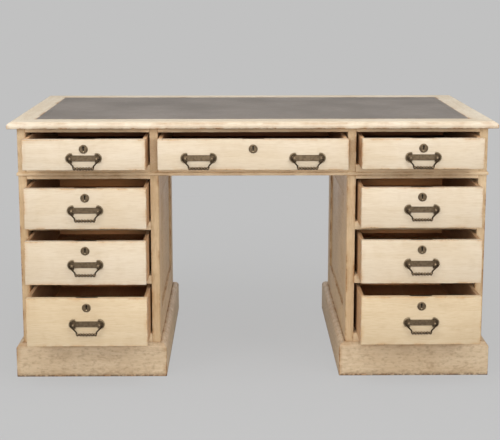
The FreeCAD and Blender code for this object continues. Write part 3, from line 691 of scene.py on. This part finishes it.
def raised_line_tree(material):
    """Fine half sunk lines swept along every path they are given."""
    tree = bpy.data.node_groups.new("raised_lines", "GeometryNodeTree")
    tree.interface.new_socket("Paths", in_out="INPUT", socket_type="NodeSocketGeometry")
    for name in ("Line Radius", "Polish And Light"):
        tree.interface.new_socket(name, in_out="INPUT", socket_type="NodeSocketFloat")
    tree.interface.new_socket("Lines", in_out="OUTPUT", socket_type="NodeSocketGeometry")
    paths = add_node(tree, "NodeGroupInput")
    line_radius = Wired(tree, paths.socket.node.outputs["Line Radius"])
    polish_and_light = Wired(tree, paths.socket.node.outputs["Polish And Light"])
    section = add_node(tree, "GeometryNodeCurvePrimitiveCircle", None, {"Resolution": 8, "Radius": 1.0})
    sockets = {"Curve": paths, "Profile Curve": section, "Scale": line_radius, "Fill Caps": True}
    lines = add_node(tree, "GeometryNodeCurveToMesh", None, sockets)
    stored = {"data_type": "FLOAT", "domain": "POINT"}
    marks = {"Geometry": lines, "Name": "crest", "Value": polish_and_light}
    marked = add_node(tree, "GeometryNodeStoreNamedAttribute", stored, marks)
    whole = add_node(tree, "GeometryNodeRealizeInstances", None, {"Geometry": marked})
    dressed = add_node(tree, "GeometryNodeSetMaterial", None, {"Geometry": whole, "Material": material})
    add_node(tree, "NodeGroupOutput", None, {tree.interface.items_tree["Lines"].identifier: dressed})
    return tree


def grown(name, path, tree, sizes):
    """The mesh that a node tree grows on a path, with its named sizes."""
    seed_object = bpy.data.objects.new(name, path)
    bpy.context.scene.collection.objects.link(seed_object)
    modifier = seed_object.modifiers.new("grow", "NODES")
    modifier.node_group = tree
    for socket in tree.interface.items_tree:
        if socket.in_out == "INPUT" and socket.name in sizes:
            modifier[socket.identifier] = sizes[socket.name]
    evaluated = seed_object.evaluated_get(bpy.context.evaluated_depsgraph_get())
    mesh = bpy.data.meshes.new_from_object(evaluated)
    seed_object.modifiers.remove(modifier)
    bpy.data.objects.remove(seed_object)
    mesh.name = name
    return mesh


def polylines(name, runs):
    """Open runs of points as one curve to sweep along."""
    path = bpy.data.curves.new(name, "CURVE")
    path.dimensions = "3D"
    for points in runs:
        spline = path.splines.new("POLY")
        spline.points.add(len(points) - 1)
        for point, place in zip(spline.points, points):
            point.co = (*place, 1.0)
    return path


bar_half = 0.0085
bar_line_half = 0.0305
line_inset = 0.0016
rim_radius = 0.0134
rim_opening = 72
shade_ring_radii = (0.0078, 0.0106)
shade_ring_opening = 64
# A line's level above 0.35 paints it rubbed and highlighted; below zero it paints the rose rings dark as
# shade round the post.
raised_sizes = {
    "bar_lines": {"Line Radius": 0.0005, "Polish And Light": 0.35},
    "rose_rims": {"Line Radius": 0.0011, "Polish And Light": 0.62},
    "rose_shade_rings": {"Line Radius": 0.0013, "Polish And Light": -0.45},
}


def bar_lines(low, high):
    """Two lines along a plate's bar."""
    middle = (low + high) / 2
    ends = [middle.x + hand * bar_line_half for hand in (-1, 1)]
    levels = [middle.z + level for level in (line_inset - bar_half, bar_half - line_inset)]
    return [[(x, low.y, z) for x in ends] for z in levels]


def rose_arcs(low, high, radius, opening, steps=40):
    """An arc round each of a plate's two roses, open towards the bar by an angle to each side."""
    middle = (low + high) / 2
    rose_middle = (high.x - low.x) / 2 - (high.z - low.z) / 2
    turn = (360 - 2 * opening) / (steps - 1)
    angles = [math.radians(opening + turn * step) for step in range(steps)]
    spots = [(rose_middle - radius * math.cos(angle), radius * math.sin(angle)) for angle in angles]
    return [[(middle.x + hand * x, low.y, middle.z + z) for x, z in spots] for hand in (-1, 1)]


def raised_runs(plates):
    """The paths of each kind of raised line on a drawer's plates."""
    runs = {kind: [] for kind in raised_sizes}
    for low, high in plates:
        runs["bar_lines"] += bar_lines(low, high)
        runs["rose_rims"] += rose_arcs(low, high, rim_radius, rim_opening)
        for radius in shade_ring_radii:
            runs["rose_shade_rings"] += rose_arcs(low, high, radius, shade_ring_opening)
    return runs


stud_start = 0.00255
stud_tip = 0.0036
head_start = 0.011
head_rise = 0.0045
head_rub_and_glint = 0.56


def rub_and_glint_share(reach):
    """How bright brass is rubbed and painted with a highlight, by how far it stands out from the drawer's
    front.
    """
    # The stud under each keyhole is painted fully bright as a highlight; the post heads brighten towards
    # their tips, partly rubbed wear and partly a painted glint.
    if stud_start < reach < stud_tip:
        return 1.0
    share = head_rub_and_glint * (reach - head_start) / head_rise
    return min(max(share, 0.0), 1.0)


brass = aged_brass()
steel = worn_steel()
raised_lines = raised_line_tree(brass)
plate_least_width = 0.08
least_proud = 0.0005
facing_up = 0.7
for drawer in drawers:
    name = drawer.removeprefix("drawer_")
    node = f"fittings_{name}"
    front_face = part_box(drawer)[0].y
    outside = []
    inside = []
    for solid in solids_of(node):
        shows = box_of(solid)[0].y < front_face - least_proud
        (outside if shows else inside).append(solid)
    mesh = joined(f"brasses_{name}", outside, brass)
    rubbed_and_lit = [rub_and_glint_share(front_face - vertex.co.y) for vertex in mesh.vertices]
    mesh.attributes.new("crest", "FLOAT", "POINT").data.foreach_set("value", rubbed_and_lit)
    finished_piece(mesh.name, mesh, drawer, [node])
    boxes = [box_of(solid) for solid in outside]
    plates = [(low, high) for low, high in boxes if high.x - low.x > plate_least_width]
    for kind, runs in raised_runs(plates).items():
        paths = polylines(f"paths_{kind}_{name}", runs)
        lines = grown(f"{kind}_{name}", paths, raised_lines, raised_sizes[kind])
        finished_piece(lines.name, lines, drawer, [])
    mesh = joined(f"lock_{name}", inside, steel)
    mesh.materials.append(brass)
    for face in mesh.polygons:
        face.material_index = int(face.normal.z > facing_up)
    finished_piece(mesh.name, mesh, drawer, [node])


# Lock bolts: short steel tongues, one in the channel of each lock case.
# A turn of the key shoots them up into the rail above.
for drawer in drawers:
    name = drawer.removeprefix("drawer_")
    node = f"bolt_{name}"
    mesh = joined(f"tongue_{name}", solids_of(node), steel)
    finished_piece(mesh.name, mesh, node, [node])


# Bails: swinging brass drops, bent from wire with a grip of seven turned beads.
# Each hangs by two pins in its posts; its beads are painted bright on their upper side as a highlight,
# dark in the grooves as patina and underneath as painted shade.
bail_sizes = {
    "Wire Radius": 0.0021,
    "Bend Radius": 0.0025,
    "Grip Run": 0.0585,
    "Beads": 7.0,
    "Crest": 0.00475,
    "Valley": 0.0016,
}
curve_step = 0.0004
bead_fullness = 0.7
crest_base_level = 0.5
upper_side_glint = 0.95
groove_tarnish_and_underside_shade = 0.85
arm_overlap = 0.001
bail_drop = 0.0275
bail_lean = 0.019
bail_slope = 0.0205
pin_tip_half = 0.0375
post_mouth_half = 0.0418


def bail_tree(material):
    """A wire swept along two bent arms, and beads along the straight run between them."""
    tree = bpy.data.node_groups.new("swung_bail", "GeometryNodeTree")
    tree.interface.new_socket("Path", in_out="INPUT", socket_type="NodeSocketGeometry")
    for name in (*bail_sizes, "Middle", "Grip Level"):
        tree.interface.new_socket(name, in_out="INPUT", socket_type="NodeSocketFloat")
    tree.interface.new_socket("Bail", in_out="OUTPUT", socket_type="NodeSocketGeometry")
    path = add_node(tree, "NodeGroupInput")
    named = {socket.name: Wired(tree, socket) for socket in path.socket.node.outputs}

    def node(kind, settings=None, sockets=None, result=0):
        return add_node(tree, kind, settings, sockets, result)

    bends = {"Curve": named["Path"], "Count": 8, "Radius": named["Bend Radius"], "Limit Radius": True}
    bent = node("GeometryNodeFilletCurve", {"mode": "POLY"}, bends)
    fine = node("GeometryNodeResampleCurve", {"mode": "LENGTH"}, {"Curve": bent, "Length": curve_step})
    split = node("ShaderNodeSeparateXYZ", None, {"Vector": node("GeometryNodeInputPosition")})
    beside = split - named["Middle"]
    above = Wired(tree, split.socket.node.outputs["Z"]) - named["Grip Level"]
    on_grip = above.math("LESS_THAN", above, arm_overlap / 2)
    place = (beside / named["Grip Run"] + 0.5) * named["Beads"]
    from_groove = 0.5 - abs(place.math("FRACT", place) - 0.5)
    swell = place.math("SINE", from_groove * math.pi) ** bead_fullness
    beaded = named["Valley"] + (named["Crest"] - named["Valley"]) * swell
    radius = on_grip * beaded + (1 - on_grip) * named["Wire Radius"]
    stored = {"data_type": "FLOAT", "domain": "POINT"}
    marks = {"Geometry": fine, "Name": "crest", "Value": on_grip * swell}
    marked = node("GeometryNodeStoreNamedAttribute", stored, marks)
    ring = node("GeometryNodeCurvePrimitiveCircle", None, {"Resolution": 14, "Radius": 1.0})
    sweep = {"Curve": marked, "Profile Curve": ring, "Scale": radius, "Fill Caps": True}
    tube = node("GeometryNodeCurveToMesh", None, sweep)
    crown = node("GeometryNodeInputNamedAttribute", {"data_type": "FLOAT"}, {"Name": "crest"})
    normal_up = node("ShaderNodeSeparateXYZ", None, {"Vector": node("GeometryNodeInputNormal")}, "Z")
    # Painted light: bead crests facing up get a painted highlight, and faces turned down stay dark as
    # painted shade.
    rubbed_and_lit = crown * (crest_base_level + normal_up.greater(0) * upper_side_glint) - groove_tarnish_and_underside_shade
    marks = {"Geometry": tube, "Name": "crest", "Value": rubbed_and_lit}
    wear_and_glint = node("GeometryNodeStoreNamedAttribute", stored, marks)
    whole = node("GeometryNodeRealizeInstances", None, {"Geometry": wear_and_glint})
    dressed = node("GeometryNodeSetMaterial", None, {"Geometry": whole, "Material": material})
    node("NodeGroupOutput", None, {tree.interface.items_tree["Bail"].identifier: dressed})
    return tree


arm_length = math.hypot(bail_lean, bail_slope)
shoulder_half = post_mouth_half + bail_sizes["Bend Radius"] * (arm_length + bail_lean) / bail_slope
foot_half = shoulder_half - bail_lean
grip_half = bail_sizes["Grip Run"] / 2
right_arm = [
    (pin_tip_half, 0.0),
    (shoulder_half, 0.0),
    (foot_half, -bail_slope),
    (foot_half, arm_overlap - bail_drop),
]
left_arm = [(-x, z) for x, z in right_arm]
grip = [(-grip_half, -bail_drop), (grip_half, -bail_drop)]
bail_bend_smooth = 60
swung_bail = bail_tree(brass)
hinges = [joint for joint in frame["joints"] if joint["type"] == "hinge"]
for hinge in hinges:
    node = hinge["child"]
    pivot = Vector(hinge["pos_m"])
    runs = [[(pivot.x + x, pivot.y, pivot.z + z) for x, z in run] for run in (right_arm, left_arm, grip)]
    path = polylines(f"path_{node}", runs)
    levels = {"Middle": pivot.x, "Grip Level": pivot.z - bail_drop}
    mesh = grown(f"drop_{node.removeprefix('bail_')}", path, swung_bail, {**bail_sizes, **levels})
    finished_piece(mesh.name, mesh, node, [node], bail_bend_smooth)


# Studio: a plain pale floor and an even grey surround, with a soft box at each side in front,
# one overhead, a narrow one at eye level and a low one behind the desk.
# The floor keeps a faint shadow under the desk.
backdrop = srgb(193, 193, 193)


def seen_directly(tree):
    """1 for what the camera, a reflection or a clear material sees, 0 for what lights the object."""
    rays = add_node(tree, "ShaderNodeLightPath").socket.node.outputs
    seen = Wired(tree, rays["Is Camera Ray"]).greater(Wired(tree, rays["Is Glossy Ray"]))
    return seen.greater(Wired(tree, rays["Is Transmission Ray"]))


floor_half = 12.0
floor_corners = [(x * floor_half, y * floor_half, 0.0) for x, y in ((-1, -1), (1, -1), (1, 1), (-1, 1))]
floor_mesh = bpy.data.meshes.new("studio_floor")
floor_mesh.from_pydata(floor_corners, [], [(0, 1, 2, 3)])
floor_finish = Finish("studio_floor")
shadowed = floor_finish.node("ShaderNodeBsdfDiffuse", None, {"Color": srgb(200, 200, 200)})
plain = floor_finish.node("ShaderNodeEmission", None, {"Color": backdrop, "Strength": 1.0})
from_desk = floor_finish.node(
    "ShaderNodeVectorMath",
    {"operation": "LENGTH"},
    {"Vector": floor_finish.places()},
    "Value",
)
share = seen_directly(floor_finish.tree) * (0.85 + from_desk.between(0.9, 2.4) * 0.15)
blend = {"Fac": share, "Shader": shadowed, "Shader_001": plain}
mixed = floor_finish.node("ShaderNodeMixShader", None, blend)
floor_finish.node("ShaderNodeOutputMaterial", None, {"Surface": mixed})
floor_mesh.materials.append(floor_finish.material)
floor = bpy.data.objects.new("studio_floor", floor_mesh)
bpy.context.scene.collection.objects.link(floor)

world = bpy.data.worlds.new("studio")
world.use_nodes = True
world.node_tree.nodes.clear()
surround_light = 0.76
level = seen_directly(world.node_tree) * (1 - surround_light) + surround_light
surround = add_node(world.node_tree, "ShaderNodeBackground", None, {"Color": backdrop, "Strength": level})
add_node(world.node_tree, "ShaderNodeOutputWorld", None, {"Surface": surround})
bpy.context.scene.world = world


def soft_box(name, place, aim, width, height, power):
    light = bpy.data.lights.new(name, "AREA")
    light.shape = "RECTANGLE"
    light.size = width
    light.size_y = height
    light.energy = power
    lamp = bpy.data.objects.new(name, light)
    bpy.context.scene.collection.objects.link(lamp)
    lamp.visible_camera = False
    lamp.location = place
    lamp.rotation_euler = (Vector(aim) - Vector(place)).to_track_quat("-Z", "Y").to_euler()


desk_front = (0.0, -0.3, 0.45)
desk_middle = (0.0, 0.0, 0.4)
desk_back = (0.0, 0.3, 0.4)
soft_box("left_light", (-2.8, -3.2, 2.3), desk_front, 1.4, 1.4, 50.0)
soft_box("right_light", (2.8, -3.2, 2.3), desk_front, 1.4, 1.4, 43.0)
soft_box("back_light", (0.0, 3.6, 0.45), desk_back, 2.6, 0.5, 30.0)
soft_box("overhead_light", (0.0, -1.2, 3.4), desk_middle, 2.6, 1.8, 54.0)
soft_box("eye_level_light", (0.0, -3.7, 1.27), desk_middle, 1.2, 0.3, 36.0)

camera_data = bpy.data.cameras.new("viewpoint")
camera_data.lens = 79.9
camera_data.sensor_width = 36.0
camera_data.shift_y = -0.13
downward_tilt = 9.29
turn_right = 0.64
camera = bpy.data.objects.new("viewpoint", camera_data)
camera.location = (-0.0439, -3.4238, 1.174)
camera.rotation_euler = (math.radians(90 - downward_tilt), 0.0, math.radians(-turn_right))
bpy.context.scene.collection.objects.link(camera)
bpy.context.scene.camera = camera
bpy.context.scene.view_settings.view_transform = "Standard"
